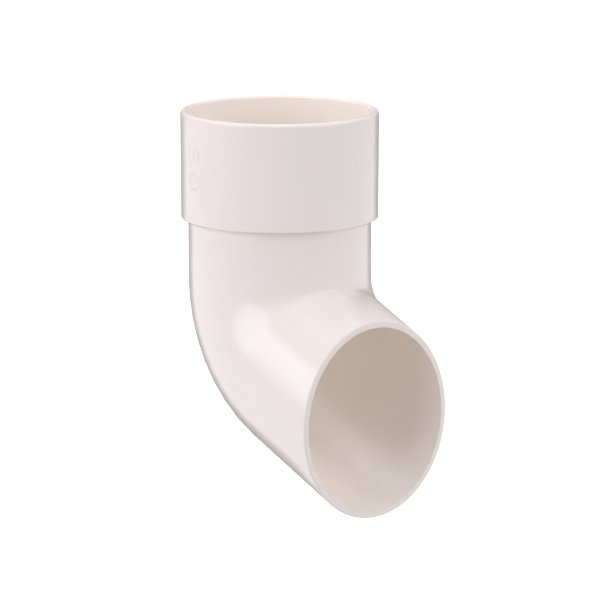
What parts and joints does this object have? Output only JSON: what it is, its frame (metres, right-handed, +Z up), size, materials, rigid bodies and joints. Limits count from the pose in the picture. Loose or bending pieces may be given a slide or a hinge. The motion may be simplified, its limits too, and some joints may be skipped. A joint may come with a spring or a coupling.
{
  "type": "downpipe shoe",
  "caption": "Moulded round downpipe shoe: a socket collar on top, a short tube, and a tight bend to a sloping outlet with an upright oval mouth.",
  "frame": {"origin": "on the socket's axis, level with the pipe stop that the downpipe's end stands on", "axes": "+Z up along the socket's axis and out of the socket, +X towards the outlet's mouth, +Y across, with XZ as the plane of symmetry"},
  "size_m": [0.0923, 0.0736, 0.1449],
  "materials": {
    "white_plastic": "warm white rigid PVC, moulded to a soft gloss"
  },
  "bodies": {
    "root": {"downpipe_shoe": "white_plastic"}
  },
  "joints": []
}
